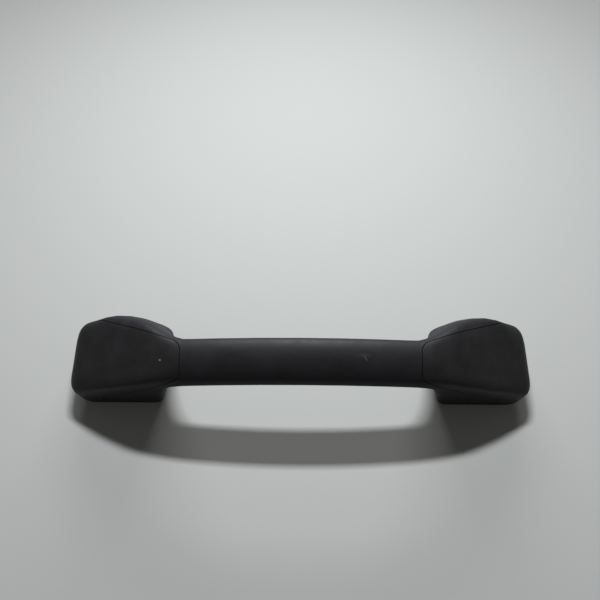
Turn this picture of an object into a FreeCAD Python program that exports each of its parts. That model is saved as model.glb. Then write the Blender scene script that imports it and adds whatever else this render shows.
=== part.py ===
import FreeCAD, Part
import math
import os
from FreeCAD import Vector

# Roof grab handle of a car: one moulded grip with two wide feet, and a hinged tongue-shaped
# cover over the screw pocket of each foot. Millimetres. The feet stand on Z = 0, X runs along
# the grip, and the broad face of the bar leans towards -Y. A station is a distance from the
# middle of the grip towards either end.

# Feet
half_length = 122.5
foot_half_width = 19.5
foot_length = 47.5
foot_slope = 22.5
foot_lean = 13.0
end_corner_radius = 8.5
edge_radius = 4.5
back_shoulder_radius = 14.0
leg_corner_radius = 4.0
leg_edge_radius = 6.0

# Bar
bar_centre_height = 37.2
bar_half_width = 10.8
bar_half_thickness = 5.2
bar_offset = 8.6
bar_lean = 19.5
bar_crown_drop = 2.4
bar_run_in = 14.0

# Side view of the ends
nose_radius = 8.5
nose_ground_gap = 0.3
nose_round_drop = 1.0
nose_top_radius = 9.0
nose_top_centre = 12.5
neck_reach = 68.5
neck_top_radius = 100.0
leg_rake = 20.0
neck_under_radius = 17.0

# End covers
cover_wall = 2.2
cover_gap = 0.3
seam_gap = 0.35
tip_reach = 62.9
tip_back_inset = 2.6
tip_front_inset = 2.5
tip_corner = 6.5
tip_flare = 4.0
back_seam_end_reach = 14.5
back_seam_end_inset = 2.0
flank_seam_drop = 2.2
back_seam_rise = 1.7
back_flank_from_y = -4.0
seam_end_angle = 12.0
nose_lip_angle = 55.0
cover_rib_height = 2.5
cover_rib_thickness = 1.2
cover_rib_half_spacing = 3.5

# Cover hinges
peg_radius = 2.0
peg_clearance = 0.05
peg_length = 2.6
lug_thickness = 2.6
lug_outer_inset = 9.0
lug_radius = 5.0
lug_foot = 12.0
ear_thickness = 2.2
ear_radius = 5.0
hinge_side_gap = 0.3
swing_clearance = 0.3

# Cover latches
latch_reach = 56.5
latch_width = 8.0
latch_thickness = 1.8
latch_length = 6.0
latch_clearance = 0.35

# Screw pockets
pocket_floor = 5.0
pocket_inner_wall = 1.5
pocket_side_wall = 6.3
pocket_corner = 5.0
pocket_rim = 2.0

# Screw plates and bushes
screw_reach = 33.5
screw_y = -4.0
screw_spacing = 15.0
screw_hole_radius = 2.75
plate_length = 24.4
plate_width = 12.0
plate_thickness = 1.5
plate_corner = 3.5
bush_outer_radius = 4.5
bush_clearance = 0.05

# Worked out from the sizes above
foot_inner_edge = half_length - foot_length
neck_station = half_length - neck_reach
tip_station = half_length - tip_reach
latch_station = half_length - latch_reach
screw_station = half_length - screw_reach
pocket_inner_station = foot_inner_edge + pocket_inner_wall
pocket_half_width = foot_half_width - pocket_side_wall
lug_outer_y = foot_half_width - lug_outer_inset
bar_straight_half = neck_station - bar_run_in
pivot_station = half_length - nose_radius
pivot_height = nose_radius + nose_ground_gap
nose_top_station = half_length - nose_top_radius
tip_back_y = bar_half_width - bar_offset - tip_back_inset
tip_front_y = tip_front_inset - foot_half_width
back_seam_rise_y = foot_half_width - back_seam_end_inset - tip_back_y
back_seam_angle = math.atan2(back_seam_rise_y, tip_reach - back_seam_end_reach)
flank_seam_height = bar_centre_height - flank_seam_drop
back_seam_height = bar_centre_height + back_seam_rise
crown_slope = math.atan(2.0 * bar_crown_drop / neck_station)
slope = math.radians(foot_slope)
rake = math.radians(leg_rake)
far = 4.0 * half_length
wide = 2.0 * foot_half_width
overlap = 1.0

# Where the sections stand: angles about the fan's centre, and shares of the bar. The poles of a
# section reach further than its corner radii, and one corner takes no more than its share.
nose_angles = [0.0, 4.0, 8.0, 10.3, 12.0, 13.7, 15.4, 17.0, 18.4]
leg_angles = [22.0, 26.0, 31.0, 36.0, 42.0, 48.0, 54.0, 60.0, 67.0, 75.0, 82.0, 90.0]
hidden_leg_angles = [26.0, 36.0, 48.0, 60.0, 75.0, 90.0]
bar_shares = [-1.0, -0.5, 0.0, 0.5, 1.0]
pole_step = math.radians(22.5)
pole_reach = 1.76
corner_share = 0.8
side_share = 0.95
oval_scale = 3.0 / (2.0 + math.cos(pole_step))


def blend(value, low, high):
    """Smooth step from 0 at low to 1 at high."""
    t = min(1.0, max(0.0, (value - low) / (high - low)))
    return t * t * (3.0 - 2.0 * t)


def tangent_points(point_a, angle_a, point_b, angle_b, radius):
    """Ends of the arc that joins line a to line b, each given by a point and its direction."""
    ax, az = math.cos(angle_a), math.sin(angle_a)
    bx, bz = math.cos(angle_b), math.sin(angle_b)
    turn = ax * bz - az * bx
    along = ((point_b[0] - point_a[0]) * bz - (point_b[1] - point_a[1]) * bx) / turn
    corner = (point_a[0] + along * ax, point_a[1] + along * az)
    reach = radius * math.tan(abs(angle_b - angle_a) / 2.0)
    start = (corner[0] - reach * ax, corner[1] - reach * az)
    end = (corner[0] + reach * bx, corner[1] + reach * bz)
    return start, end


def crown(station):
    """How far the bar has dropped below its middle at a station."""
    return bar_crown_drop * (station / neck_station) ** 2


def top_height(station, inset):
    """Height of the outer side profile: nose arc, sloping foot top, neck arc, bar."""
    nose = nose_top_radius - inset
    nose_end = (nose_top_station + nose * math.sin(slope), nose_top_centre + nose * math.cos(slope))
    neck_top = bar_centre_height + bar_half_thickness - bar_crown_drop - inset
    radius = neck_top_radius - inset
    start, end = tangent_points(
        nose_end, math.pi - slope, (neck_station, neck_top), math.pi - crown_slope, radius
    )
    if station >= nose_end[0]:
        run = station - nose_top_station
        return nose_top_centre + math.sqrt(max(0.0, nose**2 - run**2))
    if station >= start[0]:
        return start[1] + (start[0] - station) * math.tan(slope)
    if station >= end[0]:
        centre_station = start[0] - radius * math.sin(slope)
        centre_height = start[1] - radius * math.cos(slope)
        return centre_height + math.sqrt(radius**2 - (station - centre_station) ** 2)
    return neck_top - (station - neck_station) * math.tan(crown_slope)


def inside_outer(station, height, inset):
    """True while a point is under the outer side profile."""
    if station > half_length - inset:
        return False
    return height <= nose_top_centre or height <= top_height(station, inset)


def inside_hand_gap(station, height, inset):
    """True while a point is in the hand gap, under the bar and between the legs."""
    leg_foot = foot_inner_edge + inset / math.cos(rake)
    under = bar_centre_height - bar_half_thickness - bar_crown_drop + inset
    radius = neck_under_radius + inset
    start, end = tangent_points(
        (leg_foot, 0.0), math.pi / 2 + rake, (neck_station, under), math.pi - crown_slope, radius
    )
    if station >= leg_foot:
        return False
    if station >= start[0]:
        return height < (leg_foot - station) / math.tan(rake)
    if station >= end[0]:
        centre_station = start[0] - radius * math.cos(rake)
        centre_height = start[1] - radius * math.sin(rake)
        return height < centre_height + math.sqrt(radius**2 - (station - centre_station) ** 2)
    return height < under - (station - neck_station) * math.tan(crown_slope)


def fan_reach(angle, inside, inset):
    """Distance from the fan's centre, in the base under the neck, to where inside ends."""
    near = 0.1
    away = far
    for _ in range(60):
        middle = (near + away) / 2.0
        station = neck_station + middle * math.cos(angle)
        if inside(station, middle * math.sin(angle), inset):
            near = middle
        else:
            away = middle
    return near


def section(centre, outward, half_height, half_width, reaches, roundness, lean_low, lean_high):
    """Closed smooth section across Y, between a rounded box (roundness 0) and an oval (1).

    reaches say how far each corner's rounding reaches along its sides: back high, front high,
    front low and back low. The high and the low face lean by their own angles."""
    quarters = []
    for (along, up), reach in zip(((1, 1), (-1, 1), (-1, -1), (1, -1)), reaches):
        beside = (along * half_width, up * (half_height - reach))
        corner = (along * half_width, up * half_height)
        above = (along * (half_width - reach), up * half_height)
        quarters.append([beside, corner, above] if along == up else [above, corner, beside])
    poles = []
    for i in range(4):
        before = quarters[i - 1][2]
        after = quarters[i][0]
        middle = ((before[0] + after[0]) / 2.0, (before[1] + after[1]) / 2.0)
        for box_u, box_v in [middle] + quarters[i]:
            angle = len(poles) * pole_step
            u = box_u + (oval_scale * half_width * math.cos(angle) - box_u) * roundness
            v = box_v + (oval_scale * half_height * math.sin(angle) - box_v) * roundness
            share = (v + half_height) / (2.0 * half_height)
            tilt = (1.0 - share) * math.tan(lean_low) + share * math.tan(lean_high)
            poles.append(centre + outward * v + Vector(0, u, u * tilt))
    curve = Part.BSplineCurve()
    knots = [float(i) for i in range(len(poles) + 1)]
    curve.buildFromPolesMultsKnots(poles, [1] * len(knots), knots, True, 3)
    return curve


def skin(curves):
    """Solid through closed section curves: a ruled strip between neighbours, flat end caps."""
    faces = []
    for before, after in zip(curves, curves[1:]):
        strip = Part.BSplineSurface()
        strip.buildFromPolesMultsKnots(
            [list(pair) for pair in zip(before.getPoles(), after.getPoles())],
            before.getMultiplicities(),
            [2, 2],
            before.getKnots(),
            [0.0, 1.0],
            True,
            False,
            before.Degree,
            1,
        )
        faces.append(strip.toShape())
    for curve in (curves[0], curves[-1]):
        faces.append(Part.Face(Part.Wire([curve.toShape()])))
    shell = Part.Shell(faces)
    shell.sewShape()
    solid = Part.Solid(shell)
    if solid.Volume < 0:
        solid.reverse()
    return solid


def to_bar(degrees):
    """How far a foot's section has become the bar's: 0 on the foot, 1 at the bar."""
    return blend(degrees, 32.0, 86.0)


def fan_section(side, degrees, inset):
    """Section of a foot in a plane that turns about the fan's centre: 0 is the base."""
    angle = math.radians(degrees)
    outer = fan_reach(angle, inside_outer, inset)
    inner = fan_reach(angle, inside_hand_gap, inset)
    outward = Vector(side * math.cos(angle), 0, math.sin(angle))
    share = to_bar(degrees)
    half_width = foot_half_width + (bar_half_width - foot_half_width) * share - inset
    half_height = (outer - inner) / 2.0
    end_edge = end_corner_radius + (edge_radius - end_corner_radius) * blend(degrees, 16.0, 30.0)
    shoulder = (back_shoulder_radius - edge_radius) * blend(degrees, 26.0, 52.0)
    leg_edge = leg_corner_radius + (leg_edge_radius - leg_corner_radius) * blend(degrees, 5.0, 45.0)
    low = min(pole_reach * max(leg_edge - inset, overlap), corner_share * half_height)
    front = min(pole_reach * max(end_edge - inset, overlap), corner_share * half_height)
    room = side_share * min(2.0 * half_height - low, 2.0 * half_width - front)
    back = min(pole_reach * max(end_edge + shoulder - inset, overlap), room)
    lean_high = foot_lean * blend(degrees, 8.0, 18.0)
    lean_high = math.radians(lean_high + (bar_lean - foot_lean) * share)
    lean_low = math.radians(bar_lean * blend(degrees, 45.0, 90.0))
    centre = Vector(side * neck_station, -bar_offset * share, 0) + outward * ((outer + inner) / 2.0)
    roundness = blend(degrees, 44.0, 86.0)
    reaches = (back, front, low, low)
    return section(
        centre, outward, half_height, half_width, reaches, roundness, lean_low, lean_high
    )


def bar_section(x, inset):
    """Upright section of the bar."""
    lean = math.radians(bar_lean)
    centre = Vector(x, -bar_offset, bar_centre_height - crown(x))
    half_height = bar_half_thickness - inset
    half_width = bar_half_width - inset
    reaches = [half_height] * 4
    return section(centre, Vector(0, 0, 1), half_height, half_width, reaches, 1.0, lean, lean)


def envelope(inset):
    """The whole outer form from foot to foot, or the same form set in by a wall."""
    angles = nose_angles + (hidden_leg_angles if inset > 0.0 else leg_angles)
    curves = [fan_section(-1, angle, inset) for angle in angles]
    curves = curves + [bar_section(share * bar_straight_half, inset) for share in bar_shares]
    curves = curves + [fan_section(1, angle, inset) for angle in reversed(angles)]
    solid = skin(curves)
    for side in (-1, 1):
        solid = solid.cut(under_nose(side, nose_radius - inset))
    return solid


def upright(shape_points, side, thickness_from, thickness_to):
    """Prism across Y from points given as (station, height)."""
    points = [Vector(side * s, thickness_from, z) for s, z in shape_points]
    face = Part.Face(Part.makePolygon(points + [points[0]]))
    return face.extrude(Vector(0, thickness_to - thickness_from, 0))


def pivot_cylinder(side, radius, y_from, y_to):
    """Cylinder about a cover's hinge axis."""
    base = Vector(side * pivot_station, y_from, pivot_height)
    return Part.makeCylinder(radius, y_to - y_from, base, Vector(0, 1, 0))


def under_nose(side, radius):
    """What is cut away below the rounded nose."""
    start = pivot_height - nose_round_drop
    corner = [
        (pivot_station, start),
        (half_length + overlap, start),
        (half_length + overlap, -overlap),
        (pivot_station, -overlap),
    ]
    return upright(corner, side, -wide, wide).cut(pivot_cylinder(side, radius, -wide, wide))


def rounded_outline(corners):
    """Closed wire through corners given as (x, y, radius), with an arc at each corner."""
    edges = []
    ends = []
    count = len(corners)
    for i in range(count):
        here = Vector(corners[i][0], corners[i][1], 0)
        before = Vector(corners[i - 1][0], corners[i - 1][1], 0) - here
        after = Vector(corners[(i + 1) % count][0], corners[(i + 1) % count][1], 0) - here
        before.normalize()
        after.normalize()
        half = before.getAngle(after) / 2.0
        reach = corners[i][2] / math.tan(half)
        middle = before + after
        middle.normalize()
        depth = corners[i][2] / math.sin(half) - corners[i][2]
        ends.append((here + before * reach, here + middle * depth, here + after * reach))
    for i in range(count):
        start, middle, end = ends[i]
        edges.append(Part.Arc(start, middle, end).toShape())
        edges.append(Part.LineSegment(end, ends[(i + 1) % count][0]).toShape())
    return Part.Wire(edges)


def plan_prism(corners, side, z_from, z_to):
    """Upright prism from plan corners given as (station, y, radius)."""
    placed = [(side * s, y, radius) for s, y, radius in corners]
    face = Part.Face(rounded_outline(placed))
    face.translate(Vector(0, 0, z_from))
    return face.extrude(Vector(0, 0, z_to - z_from))


def back_seam_y(station, grow):
    """Where the straight back seam of a cover runs in plan."""
    run = (station - tip_station) * math.tan(back_seam_angle)
    return tip_back_y + run + grow / math.cos(back_seam_angle)


def tongue_plan(side, grow):
    """Upright prism of an end cover's outline: a tongue that widens past the foot."""
    tip = tip_station - grow
    end = half_length + foot_half_width
    tongue = [
        (tip, back_seam_y(tip, grow), tip_corner),
        (tip, tip_front_y - grow, tip_corner),
        (tip + tip_corner + tip_flare, -wide, overlap),
        (end, -wide, overlap),
        (end, back_seam_y(end, grow), overlap),
    ]
    return plan_prism(tongue, side, -overlap, 2.0 * bar_centre_height)


def above_seam(side, tip_height, grow, y_from, y_to):
    """Space above the seam of a flank, which runs straight from the tip to the knuckle."""
    touch = polar(nose_radius, seam_end_angle)
    angle = math.atan2(tip_height - touch[1], touch[0] - tip_station)
    start = tip_station - tip_corner
    drop = grow / math.cos(angle)
    points = [
        (start, touch[1] + (touch[0] - start) * math.tan(angle) - drop),
        (touch[0], touch[1] - drop),
        (pivot_station, pivot_height),
        (pivot_station, pivot_height - overlap),
        (2.0 * half_length, pivot_height - overlap),
        (2.0 * half_length, 2.0 * bar_centre_height),
        (start, 2.0 * bar_centre_height),
    ]
    return upright(points, side, y_from, y_to)


def tongue_region(side, grow):
    """Space of an end cover: the tongue, cut along each flank by the sloping seam."""
    front = above_seam(side, flank_seam_height, grow, -wide, back_flank_from_y)
    back = above_seam(side, back_seam_height, grow, back_flank_from_y, wide)
    return tongue_plan(side, grow).common(front.fuse(back))


def polar(radius, degrees):
    """Station and height at an angle about the hinge axis: 0 points to the middle, 90 up."""
    angle = math.radians(degrees)
    return (
        pivot_station - radius * math.cos(angle),
        pivot_height + radius * math.sin(angle),
    )


def mirrored_pair(shape):
    """The shape and its mirror across the middle plane Y = 0."""
    return shape.fuse(shape.mirror(Vector(0, 0, 0), Vector(0, 1, 0)))


def latch_block(side, clearance, depth):
    """Latch tab, or its slot, square to the radius from the hinge so that it swings free."""
    reach = pivot_station - latch_station
    rise = top_height(latch_station, cover_wall) - pivot_height
    tilt = math.degrees(math.atan2(rise, reach))
    block = Part.makeBox(
        latch_thickness + 2.0 * clearance,
        latch_width + 2.0 * clearance,
        depth + overlap,
        Vector(-latch_thickness / 2.0 - clearance, -latch_width / 2.0 - clearance, -depth),
    )
    block.rotate(Vector(0, 0, 0), Vector(0, 1, 0), side * tilt)
    neck_angle = math.atan2(pivot_height + rise, latch_station - neck_station)
    middle_y = -bar_offset * to_bar(math.degrees(neck_angle))
    block.translate(Vector(side * latch_station, middle_y, pivot_height + rise))
    return block


def hinge_lugs(side):
    """Two lugs on the pocket floor that carry a cover's pegs."""
    floor_station = -(pocket_floor - pivot_height)
    notch = nose_radius + swing_clearance
    floor_reach = math.sqrt(notch**2 - floor_station**2)
    web = [
        (pivot_station, pivot_height),
        (pivot_station - floor_reach, pocket_floor),
        (pivot_station - floor_reach, pocket_floor - overlap),
        (pivot_station - lug_foot, pocket_floor - overlap),
        (pivot_station - lug_foot, pocket_floor),
        polar(lug_radius, 60.0),
    ]
    y_from = lug_outer_y - lug_thickness
    lug = upright(web, side, y_from, lug_outer_y)
    lug = lug.fuse(pivot_cylinder(side, lug_radius, y_from, lug_outer_y))
    return mirrored_pair(lug)


def hinge_ears(side):
    """Two ears inside a cover's nose, with pegs that run in the lugs."""
    y_from = lug_outer_y + hinge_side_gap
    y_to = y_from + ear_thickness
    wedge = [(pivot_station, pivot_height)]
    wedge = wedge + [polar(2.0 * nose_radius, degrees) for degrees in (110, 160, 215)]
    ear = upright(wedge, side, y_from, y_to)
    ear = ear.fuse(pivot_cylinder(side, ear_radius, y_from, y_to))
    ear = ear.fuse(pivot_cylinder(side, peg_radius, y_from - peg_length, y_from + overlap))
    return mirrored_pair(ear)


def nose_lip_cut(side):
    """Sector that opens the nose below its lip, so that the cover can swing over."""
    inner_y = foot_half_width - cover_wall
    sector = [
        (pivot_station, pivot_height),
        polar(2.0 * nose_radius, 180.0 + nose_lip_angle),
        polar(2.0 * nose_radius, 270.0),
    ]
    return upright(sector, side, -inner_y, inner_y)


def cover_ribs(side, mid_wall, rib_core):
    """Two stiffening ribs along the underside of a cover."""
    ribs = []
    for y in (screw_y - cover_rib_half_spacing, screw_y + cover_rib_half_spacing):
        start = pocket_inner_station + 2.0 * overlap
        box = Part.makeBox(
            pivot_station - nose_radius - start,
            cover_rib_thickness,
            2.0 * bar_centre_height,
            Vector(start, y - cover_rib_thickness / 2.0, nose_top_centre),
        )
        if side < 0:
            box = box.mirror(Vector(0, 0, 0), Vector(1, 0, 0))
        ribs.append(box.common(mid_wall).cut(rib_core))
    return ribs


def make_cover(side, outer, mid_wall, lining, rib_core):
    """End cover: shell, ribs, latch tab, hinge ears and pegs in one moulding."""
    knuckle = pivot_cylinder(side, nose_radius, -wide, wide)
    space = tongue_region(side, 0.0).fuse(knuckle)
    cover = outer.cut(lining).common(space)
    cover = cover.cut(nose_lip_cut(side))
    inside = cover_ribs(side, mid_wall, rib_core)
    inside.append(latch_block(side, 0.0, latch_length).common(mid_wall))
    inside.append(hinge_ears(side).common(mid_wall))
    return cover.fuse(inside)


def make_grip(outer, seat):
    """Grip moulding: bar, legs and feet, with cover seats, pockets, lugs, slots and holes."""
    grip = outer
    for side in (-1, 1):
        grip = grip.cut(tongue_region(side, seam_gap).cut(seat))
        notch = pivot_cylinder(side, nose_radius + swing_clearance, -wide, wide)
        behind_notch = Part.makeBox(
            wide, 2.0 * wide, 2.0 * bar_centre_height, Vector(0, -wide, -overlap)
        )
        if side < 0:
            behind_notch = behind_notch.mirror(Vector(0, 0, 0), Vector(1, 0, 0))
        behind_notch.translate(Vector(side * pivot_station, 0, 0))
        grip = grip.cut([notch, behind_notch])
        pocket = [
            (pocket_inner_station, -pocket_half_width, pocket_corner),
            (half_length + wide, -pocket_half_width, overlap),
            (half_length + wide, pocket_half_width, overlap),
            (pocket_inner_station, pocket_half_width, pocket_corner),
        ]
        hollow = plan_prism(pocket, side, pocket_floor, 2.0 * bar_centre_height)
        grip = grip.cut(hollow.common(tongue_plan(side, -pocket_rim)))
        grip = grip.fuse(hinge_lugs(side))
        bore = pivot_cylinder(side, peg_radius + peg_clearance, -wide, wide)
        slot = latch_block(side, latch_clearance, latch_length + latch_clearance)
        holes = [
            Part.makeCylinder(
                bush_outer_radius + bush_clearance,
                pocket_floor + 2.0 * overlap,
                Vector(x, screw_y, -overlap),
            )
            for x in screw_places(side)
        ]
        grip = grip.cut([bore, slot] + holes)
    return grip


def screw_places(side):
    """X of the inner and the outer screw of a foot."""
    return [
        side * (screw_station - screw_spacing / 2.0),
        side * (screw_station + screw_spacing / 2.0),
    ]


def make_plate(side):
    """Steel plate on the pocket floor that spreads the load of the screw heads."""
    half = plate_length / 2.0
    corners = [
        (screw_station - half, screw_y - plate_width / 2.0, plate_corner),
        (screw_station + half, screw_y - plate_width / 2.0, plate_corner),
        (screw_station + half, screw_y + plate_width / 2.0, plate_corner),
        (screw_station - half, screw_y + plate_width / 2.0, plate_corner),
    ]
    plate = plan_prism(corners, side, pocket_floor, pocket_floor + plate_thickness)
    holes = [
        Part.makeCylinder(screw_hole_radius, far, Vector(x, screw_y, 0))
        for x in screw_places(side)
    ]
    return plate.cut(holes)


def make_bush(x):
    """Steel bush in the pocket floor that keeps a screw from crushing the moulding."""
    base = Vector(x, screw_y, 0)
    bush = Part.makeCylinder(bush_outer_radius, pocket_floor, base)
    return bush.cut(Part.makeCylinder(screw_hole_radius, pocket_floor, base))


def main():
    os.makedirs("parts", exist_ok=True)
    outer = envelope(0.0)
    mid_wall = envelope(cover_wall / 2.0)
    lining = envelope(cover_wall)
    seat = envelope(cover_wall + cover_gap)
    rib_core = envelope(cover_wall + cover_rib_height)
    nodes = {"grip_moulding": make_grip(outer, seat)}
    for name, side in (("left", -1), ("right", 1)):
        nodes[name + "_end_cover"] = make_cover(side, outer, mid_wall, lining, rib_core)
        nodes[name + "_screw_plate"] = make_plate(side)
        inner_x, outer_x = screw_places(side)
        nodes[name + "_inner_bush"] = make_bush(inner_x)
        nodes[name + "_outer_bush"] = make_bush(outer_x)
    for name, shape in nodes.items():
        shape.exportStep("parts/" + name + ".step")
        print(name, shape.ShapeType, len(shape.Solids), shape.isValid(), round(shape.Volume, 1))


main()
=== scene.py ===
import math

import bpy
from bpy.props import FloatProperty, FloatVectorProperty, PointerProperty, StringProperty
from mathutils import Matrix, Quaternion, Vector


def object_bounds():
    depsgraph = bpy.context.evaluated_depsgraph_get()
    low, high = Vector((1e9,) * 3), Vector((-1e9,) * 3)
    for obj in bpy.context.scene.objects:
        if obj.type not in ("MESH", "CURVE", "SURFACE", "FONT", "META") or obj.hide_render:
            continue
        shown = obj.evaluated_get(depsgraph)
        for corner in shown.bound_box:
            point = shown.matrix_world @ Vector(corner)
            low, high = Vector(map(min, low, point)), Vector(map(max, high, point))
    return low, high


bl_info = {
    "name": "Roof Grab Handle",
    "version": (1, 0, 0),
    "blender": (4, 5, 0),
    "location": "3D View > Sidebar > Grab Handle",
    "description": "Finishes and studio for a moulded roof grab handle with hinged end covers",
    "category": "Object",
}

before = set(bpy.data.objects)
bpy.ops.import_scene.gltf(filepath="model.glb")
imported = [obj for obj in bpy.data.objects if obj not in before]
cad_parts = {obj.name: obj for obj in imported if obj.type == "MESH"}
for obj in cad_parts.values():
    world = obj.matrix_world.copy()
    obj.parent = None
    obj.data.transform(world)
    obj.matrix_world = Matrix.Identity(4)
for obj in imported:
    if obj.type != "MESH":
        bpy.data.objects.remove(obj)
CAD_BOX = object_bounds()
MM = 0.001

# Half sizes of the wear marks along their own axes, in millimetres, their turns about the
# upright axis, in degrees, and how much of the tint each one takes
SCRATCH_HALF_SIZE, SCRATCH_TURN, SCRATCH_STRENGTH = (0.5, 2.5, 2.6), 33.0, 0.2
SCUFF_HALF_SIZE, SCUFF_TURN, SCUFF_STRENGTH = (4.2, 1.4, 2.0), -6.0, 0.09
SPECK_HALF_SIZE, SPECK_TURN, SPECK_STRENGTH = (0.75, 0.6, 0.8), 0.0, 0.9
# Spacing of the breaks in the scuff, in millimetres
SCUFF_BREAKS = 0.9
# Distance from a mark's middle, as a share of its half size, up to which it is at its full
MARK_CORE = 0.35

# Steel: size of the plating's bloom and spacing of the drawing lines, in millimetres, how
# much the lines are stretched along the plate, and their depth in millimetres. Real drawing
# lines are some hundredths of a millimetre apart, and drawn coarser here so that they show.
BLOOM_SIZE = 3.0
LINE_SPACING = 0.25
LINE_STRETCH = (0.08, 1.0, 1.0)
LINE_DEPTH = 0.01

# Board: spacing and depth of its fine texture, in millimetres, and half of its side, in
# metres. The real texture is about a tenth of that spacing and wouldn't show.
TEXTURE_SPACING = 1.2
TEXTURE_DEPTH = 0.02
BOARD_HALF_SIDE = 6.0

# Lamps: place, the point that each one faces, its two sides, in metres, and its colour.
# The key lamp faces a point well in front of the handle, so that the board behind the
# handle gets no more light than the rest.
KEY_PLACE = (0.0, 0.365, 0.435)
KEY_AIM = (0.0, -0.83, 0.0)
KEY_SIZE = (0.16, 0.034)
KEY_COLOUR = (0.98, 0.99, 1.0)
WINDOW_PLACE = (0.0, 2.7, 0.84)
WINDOW_AIM = (0.0, 0.0, 0.0)
WINDOW_SIZE = (2.1, 0.6)
WINDOW_COLOUR = (1.0, 0.99, 0.96)
ROOM_COLOUR = (1.0, 0.965, 0.9, 1.0)

# Camera: how far it stands aside of the middle, in metres, its lens and film width, in
# millimetres, and the nearest and farthest distance that it sees, in metres
CAMERA_ASIDE = -0.0006
LENS = 30.0
FILM_WIDTH = 36.0
NEAREST, FARTHEST = 0.01, 50.0


# Colours and nodes

def linear(hex_colour):
    """Linear RGBA of an sRGB colour written as RRGGBB."""
    channels = [int(hex_colour[i:i + 2], 16) / 255.0 for i in (0, 2, 4)]
    rgb = [c / 12.92 if c <= 0.04045 else ((c + 0.055) / 1.055) ** 2.4 for c in channels]
    return (*rgb, 1.0)


def add(tree, kind, values=None, links=None, **settings):
    """Adds a node with its settings, its input values and its input links; gives the node."""
    node = tree.nodes.new(kind)
    for name, value in settings.items():
        setattr(node, name, value)
    for name, value in (values or {}).items():
        node.inputs[name].default_value = value
    for name, source in (links or {}).items():
        tree.links.new(source, node.inputs[name])
    return node


def new_material(name):
    """Empty node material; gives the material, its tree and its output node."""
    material = bpy.data.materials.new(name)
    material.use_nodes = True
    tree = material.node_tree
    tree.nodes.clear()
    return material, tree, add(tree, "ShaderNodeOutputMaterial")


def per_metre(size_mm):
    """Noise scale that gives features of a size in millimetres."""
    return 1.0 / (size_mm * MM)


# Wear marks

def spot_mask(tree, place, centre_mm, half_size_mm, turn_deg):
    """Soft oval mask on the surface around a point, 1 in the middle and 0 outside."""
    local = add(
        tree,
        "ShaderNodeMapping",
        {
            "Location": [c * MM for c in centre_mm],
            "Rotation": (0.0, 0.0, math.radians(turn_deg)),
            "Scale": [h * MM for h in half_size_mm],
        },
        {"Vector": place},
        vector_type="TEXTURE",
    )
    distance = add(tree, "ShaderNodeVectorMath", links={0: local.outputs[0]}, operation="LENGTH")
    mask = add(
        tree,
        "ShaderNodeMapRange",
        {"From Min": 1.0, "From Max": MARK_CORE},
        {"Value": distance.outputs["Value"]},
        interpolation_type="SMOOTHSTEP",
    )
    return mask.outputs[0]


def product(tree, first, second):
    """Two masks multiplied, or one mask scaled by a number."""
    node = add(tree, "ShaderNodeMath", links={0: first}, operation="MULTIPLY")
    if isinstance(second, float):
        node.inputs[1].default_value = second
    else:
        tree.links.new(second, node.inputs[1])
    return node.outputs[0]


# Materials

def moulded_polypropylene(name, dark, light, finish, marks):
    """Polypropylene from a spark-eroded mould: near black all through, with a fine even grain
    that spreads the lamp's reflection into a broad soft sheen, and a faint cloudy haze."""
    material, tree, output = new_material(name)
    place = add(tree, "ShaderNodeTexCoord").outputs["Object"]
    cloud = add(
        tree,
        "ShaderNodeTexNoise",
        {"Scale": per_metre(finish.haze_size), "Detail": 4.0, "Roughness": 0.6},
        {"Vector": place},
    )
    colour = add(
        tree,
        "ShaderNodeMix",
        {"A": linear(dark), "B": linear(light)},
        {"Factor": cloud.outputs[0]},
        data_type="RGBA",
    ).outputs["Result"]
    roughness = add(
        tree,
        "ShaderNodeMapRange",
        {
            "To Min": finish.roughness - finish.roughness_spread,
            "To Max": finish.roughness + finish.roughness_spread,
        },
        {"Value": cloud.outputs[0]},
    ).outputs[0]
    for mask_of, tint, strength in marks:
        mask = product(tree, mask_of(tree, place), strength)
        colour = add(
            tree,
            "ShaderNodeMix",
            {"B": linear(tint)},
            {"Factor": mask, "A": colour},
            data_type="RGBA",
        ).outputs["Result"]
    grain = add(
        tree,
        "ShaderNodeTexNoise",
        {"Scale": per_metre(finish.grain_size), "Detail": 2.0, "Roughness": 0.55},
        {"Vector": place},
    )
    bump = add(
        tree,
        "ShaderNodeBump",
        {"Strength": finish.grain_strength, "Distance": finish.grain_depth * MM},
        {"Height": grain.outputs[0]},
    )
    surface = add(
        tree,
        "ShaderNodeBsdfPrincipled",
        {"IOR": 1.49, "Metallic": 0.0, "Specular IOR Level": 0.46},
        {"Base Color": colour, "Roughness": roughness, "Normal": bump.outputs[0]},
    )
    tree.links.new(surface.outputs[0], output.inputs["Surface"])
    return material


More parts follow.
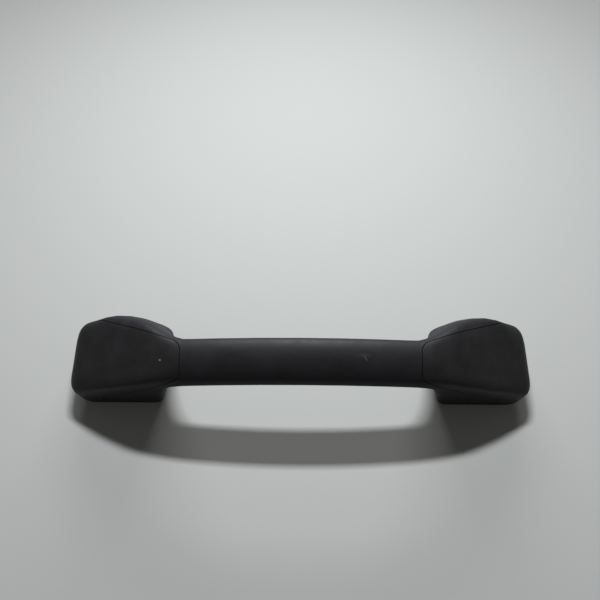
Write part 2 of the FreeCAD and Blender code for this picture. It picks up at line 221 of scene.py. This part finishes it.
def zinc_plated_steel(name, finish):
    """Pressed steel, zinc plated and clear passivated: pale bluish grey with a cloudy bloom
    and fine drawing lines along the plate."""
    material, tree, output = new_material(name)
    place = add(tree, "ShaderNodeTexCoord").outputs["Object"]
    bloom = add(
        tree,
        "ShaderNodeTexNoise",
        {"Scale": per_metre(BLOOM_SIZE), "Detail": 3.0},
        {"Vector": place},
    )
    colour = add(
        tree,
        "ShaderNodeMix",
        {"A": linear(finish.dark), "B": linear(finish.light)},
        {"Factor": bloom.outputs[0]},
        data_type="RGBA",
    )
    stretched = add(tree, "ShaderNodeMapping", {"Scale": LINE_STRETCH}, {"Vector": place})
    lines = add(
        tree,
        "ShaderNodeTexNoise",
        {"Scale": per_metre(LINE_SPACING), "Detail": 2.0},
        {"Vector": stretched.outputs[0]},
    )
    bump = add(
        tree,
        "ShaderNodeBump",
        {"Strength": 0.25, "Distance": LINE_DEPTH * MM},
        {"Height": lines.outputs[0]},
    )
    surface = add(
        tree,
        "ShaderNodeBsdfPrincipled",
        {"Metallic": 1.0, "Roughness": finish.roughness},
        {"Base Color": colour.outputs["Result"], "Normal": bump.outputs[0]},
    )
    tree.links.new(surface.outputs[0], output.inputs["Surface"])
    return material


def melamine_board(name, colour_hex):
    """Melamine-faced board: pale grey, finely textured by its press plate, nearly matte."""
    material, tree, output = new_material(name)
    place = add(tree, "ShaderNodeTexCoord").outputs["Object"]
    speckle = add(
        tree,
        "ShaderNodeTexNoise",
        {"Scale": per_metre(TEXTURE_SPACING), "Detail": 2.0},
        {"Vector": place},
    )
    bump = add(
        tree,
        "ShaderNodeBump",
        {"Strength": 0.12, "Distance": TEXTURE_DEPTH * MM},
        {"Height": speckle.outputs[0]},
    )
    surface = add(
        tree,
        "ShaderNodeBsdfPrincipled",
        {"Base Color": linear(colour_hex), "Roughness": 0.75, "Specular IOR Level": 0.2},
        {"Normal": bump.outputs[0]},
    )
    tree.links.new(surface.outputs[0], output.inputs["Surface"])
    return material


def dress(node_names, material):
    """Gives every slot of the named parts one material."""
    for name in node_names:
        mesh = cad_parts[name].data
        if not mesh.materials:
            mesh.materials.append(material)
        for i in range(len(mesh.materials)):
            mesh.materials[i] = material


# Settings

class GRAB_PG_plastic(bpy.types.PropertyGroup):
    grip_dark: StringProperty(
        name="Grip, darker", description="Deepest tone of the grip, sRGB hex", default="0e0e13"
    )
    grip_light: StringProperty(
        name="Grip, lighter", description="Palest tone of the grip, sRGB hex", default="28282e"
    )
    cover_dark: StringProperty(
        name="Covers, darker", description="Deepest tone of the covers, sRGB hex", default="131315"
    )
    cover_light: StringProperty(
        name="Covers, lighter", description="Palest tone of the covers, sRGB hex", default="2b2b2e"
    )
    roughness: FloatProperty(
        name="Roughness", description="Middle of the roughness range", default=0.6,
        min=0.0, max=1.0, subtype="FACTOR",
    )
    roughness_spread: FloatProperty(
        name="Roughness spread", description="How far the roughness varies", default=0.16,
        min=0.0, max=0.3,
    )
    haze_size: FloatProperty(
        name="Haze size", description="Size of the tone changes, in millimetres", default=11.0,
        min=1.0,
    )
    # The real grain is about 0.1 mm and too fine to show, so it is drawn coarser
    grain_size: FloatProperty(
        name="Grain size", description="Spacing of the mould grain, in millimetres",
        default=0.9, min=0.1,
    )
    grain_depth: FloatProperty(
        name="Grain depth", description="Height of the mould grain, in millimetres",
        default=0.05, min=0.0,
    )
    grain_strength: FloatProperty(
        name="Grain strength", description="How strongly the grain bends the light",
        default=0.35, min=0.0, max=1.0, subtype="FACTOR",
    )


class GRAB_PG_marks(bpy.types.PropertyGroup):
    speck_at: FloatVectorProperty(
        name="Speck", description="Place of the pale speck on the left cover, in millimetres",
        default=(-69.4, -8.5, 37.45),
    )
    scratch_at: FloatVectorProperty(
        name="Scratch", description="Middle of the short scratch on the bar, in millimetres",
        default=(31.5, -8.3, 41.5),
    )
    scuff_at: FloatVectorProperty(
        name="Scuff", description="Middle of the faint scuff beside the scratch, in millimetres",
        default=(31.0, -7.0, 42.0),
    )
    tint: StringProperty(
        name="Tint", description="Colour of bruised plastic and dust, sRGB hex", default="8d8e90"
    )


class GRAB_PG_steel(bpy.types.PropertyGroup):
    dark: StringProperty(
        name="Darker", description="Deepest tone of the zinc plating, sRGB hex", default="a9adb1"
    )
    light: StringProperty(
        name="Lighter", description="Palest tone of the zinc plating, sRGB hex", default="c3c5c2"
    )
    roughness: FloatProperty(
        name="Roughness", description="Roughness of the zinc plating", default=0.38,
        min=0.0, max=1.0, subtype="FACTOR",
    )


class GRAB_PG_stage(bpy.types.PropertyGroup):
    board_colour: StringProperty(
        name="Board colour", description="Colour of the board, sRGB hex", default="c0c3c2"
    )
    camera_height: FloatProperty(
        name="Camera height", description="Height of the lens above the board",
        default=0.2704, unit="LENGTH",
    )
    camera_back: FloatProperty(
        name="Camera distance", description="How far the lens stands in front of the middle",
        default=0.0930, unit="LENGTH",
    )
    camera_pitch: FloatProperty(
        name="Camera pitch", description="Angle of the view below the horizon",
        default=math.radians(63.1), subtype="ANGLE",
    )
    camera_roll: FloatProperty(
        name="Camera roll", description="Turn of the camera about its own line of sight",
        default=math.radians(0.4), subtype="ANGLE",
    )
    key_power: FloatProperty(
        name="Key light", description="Power of the lamp behind the handle, in watts",
        default=3.7, min=0.0,
    )
    window_power: FloatProperty(
        name="Window light", description="Power of the low, broad light far behind, in watts",
        default=54.0, min=0.0,
    )
    fill: FloatProperty(
        name="Fill", description="Strength of the light from all round", default=0.08, min=0.0
    )


class GRAB_PG_settings(bpy.types.PropertyGroup):
    plastic: PointerProperty(type=GRAB_PG_plastic)
    marks: PointerProperty(type=GRAB_PG_marks)
    steel: PointerProperty(type=GRAB_PG_steel)
    stage: PointerProperty(type=GRAB_PG_stage)


# Operators

class GRAB_OT_grip(bpy.types.Operator):
    """Give the grip moulding its grained plastic, with the scratch and scuff on the bar"""

    bl_idname = "grab.grip"
    bl_label = "Grip Moulding"

    def execute(self, context):
        settings = context.scene.grab_handle
        marks = settings.marks

        def scratch(tree, place):
            return spot_mask(tree, place, marks.scratch_at, SCRATCH_HALF_SIZE, SCRATCH_TURN)

        def scuff(tree, place):
            area = spot_mask(tree, place, marks.scuff_at, SCUFF_HALF_SIZE, SCUFF_TURN)
            broken = add(
                tree,
                "ShaderNodeTexNoise",
                {"Scale": per_metre(SCUFF_BREAKS), "Detail": 3.0},
                {"Vector": place},
            )
            return product(tree, area, broken.outputs[0])

        material = moulded_polypropylene(
            "Polypropylene, grained mould, grip",
            settings.plastic.grip_dark,
            settings.plastic.grip_light,
            settings.plastic,
            [(scuff, marks.tint, SCUFF_STRENGTH), (scratch, marks.tint, SCRATCH_STRENGTH)],
        )
        dress(["grip_moulding"], material)
        return {"FINISHED"}


class GRAB_OT_covers(bpy.types.Operator):
    """Give both end covers their grained plastic, with the pale speck on the left one"""

    bl_idname = "grab.covers"
    bl_label = "End Covers"

    def execute(self, context):
        settings = context.scene.grab_handle
        marks = settings.marks

        def speck(tree, place):
            return spot_mask(tree, place, marks.speck_at, SPECK_HALF_SIZE, SPECK_TURN)

        material = moulded_polypropylene(
            "Polypropylene, grained mould, covers",
            settings.plastic.cover_dark,
            settings.plastic.cover_light,
            settings.plastic,
            [(speck, marks.tint, SPECK_STRENGTH)],
        )
        dress(["left_end_cover", "right_end_cover"], material)
        return {"FINISHED"}


class GRAB_OT_fixings(bpy.types.Operator):
    """Give the screw plates and bushes their zinc-plated steel"""

    bl_idname = "grab.fixings"
    bl_label = "Screw Plates and Bushes"

    def execute(self, context):
        material = zinc_plated_steel("Steel, zinc plated", context.scene.grab_handle.steel)
        names = [
            side + "_" + part
            for side in ("left", "right")
            for part in ("screw_plate", "inner_bush", "outer_bush")
        ]
        dress(names, material)
        return {"FINISHED"}


def hang_lamp(name, place, aim, size, power, colour):
    """Hangs a rectangular lamp that faces a point and can't be seen itself; gives the lamp."""
    light = bpy.data.lights.new(name, "AREA")
    light.shape = "RECTANGLE"
    light.size, light.size_y = size
    light.energy = power
    light.color = colour
    lamp = bpy.data.objects.new(name, light)
    lamp.location = place
    lamp.rotation_mode = "QUATERNION"
    lamp.rotation_quaternion = (Vector(aim) - lamp.location).to_track_quat("-Z", "Y")
    lamp.visible_camera = False
    bpy.context.scene.collection.objects.link(lamp)
    return lamp


class GRAB_OT_stage(bpy.types.Operator):
    """Lay the board, hang the lamps and set up the camera"""

    bl_idname = "grab.stage"
    bl_label = "Board, Lamps and Camera"

    def execute(self, context):
        settings = context.scene.grab_handle.stage
        scene = context.scene
        scene.view_settings.view_transform = "Standard"
        half = BOARD_HALF_SIDE
        mesh = bpy.data.meshes.new("board")
        corners = [(-half, -half, 0), (half, -half, 0), (half, half, 0), (-half, half, 0)]
        mesh.from_pydata(corners, [], [(0, 1, 2, 3)])
        board = bpy.data.objects.new("board", mesh)
        scene.collection.objects.link(board)
        board.location.z = CAD_BOX[0].z
        mesh.materials.append(melamine_board("Board, melamine faced", settings.board_colour))

        hang_lamp("key", KEY_PLACE, KEY_AIM, KEY_SIZE, settings.key_power, KEY_COLOUR)
        window = hang_lamp(
            "window", WINDOW_PLACE, WINDOW_AIM, WINDOW_SIZE, settings.window_power, WINDOW_COLOUR
        )
        window.visible_glossy = False

        world = bpy.data.worlds.new("room")
        world.use_nodes = True
        world.node_tree.nodes.clear()
        background = add(
            world.node_tree,
            "ShaderNodeBackground",
            {"Color": ROOM_COLOUR, "Strength": settings.fill},
        )
        add(world.node_tree, "ShaderNodeOutputWorld", links={"Surface": background.outputs[0]})
        scene.world = world

        data = bpy.data.cameras.new("camera")
        data.lens = LENS
        data.sensor_width = FILM_WIDTH
        data.clip_start = NEAREST
        data.clip_end = FARTHEST
        camera = bpy.data.objects.new("camera", data)
        camera.location = (CAMERA_ASIDE, -settings.camera_back, settings.camera_height)
        camera.rotation_mode = "QUATERNION"
        pitch = Quaternion((1.0, 0.0, 0.0), math.pi / 2 - settings.camera_pitch)
        roll = Quaternion((0.0, 0.0, 1.0), settings.camera_roll)
        camera.rotation_quaternion = pitch @ roll
        scene.collection.objects.link(camera)
        scene.camera = camera
        return {"FINISHED"}


class GRAB_PT_panel(bpy.types.Panel):
    """Sidebar panel with every step and its settings"""

    bl_label = "Grab Handle"
    bl_idname = "GRAB_PT_panel"
    bl_space_type = "VIEW_3D"
    bl_region_type = "UI"
    bl_category = "Grab Handle"

    def draw(self, context):
        settings = context.scene.grab_handle
        for operator, group in STEPS:
            box = self.layout.box()
            box.operator(operator.bl_idname)
            values = getattr(settings, group)
            for name in values.bl_rna.properties.keys():
                if name not in ("rna_type", "name"):
                    box.prop(values, name)


STEPS = (
    (GRAB_OT_grip, "plastic"),
    (GRAB_OT_covers, "marks"),
    (GRAB_OT_fixings, "steel"),
    (GRAB_OT_stage, "stage"),
)
CLASSES = (
    GRAB_PG_plastic,
    GRAB_PG_marks,
    GRAB_PG_steel,
    GRAB_PG_stage,
    GRAB_PG_settings,
    GRAB_OT_grip,
    GRAB_OT_covers,
    GRAB_OT_fixings,
    GRAB_OT_stage,
    GRAB_PT_panel,
)


def register():
    for item in CLASSES:
        bpy.utils.register_class(item)
    bpy.types.Scene.grab_handle = PointerProperty(type=GRAB_PG_settings)


def unregister():
    del bpy.types.Scene.grab_handle
    for item in reversed(CLASSES):
        bpy.utils.unregister_class(item)


def main():
    register()
    bpy.ops.grab.grip()
    bpy.ops.grab.covers()
    bpy.ops.grab.fixings()
    bpy.ops.grab.stage()


if __name__ == "__main__":
    main()
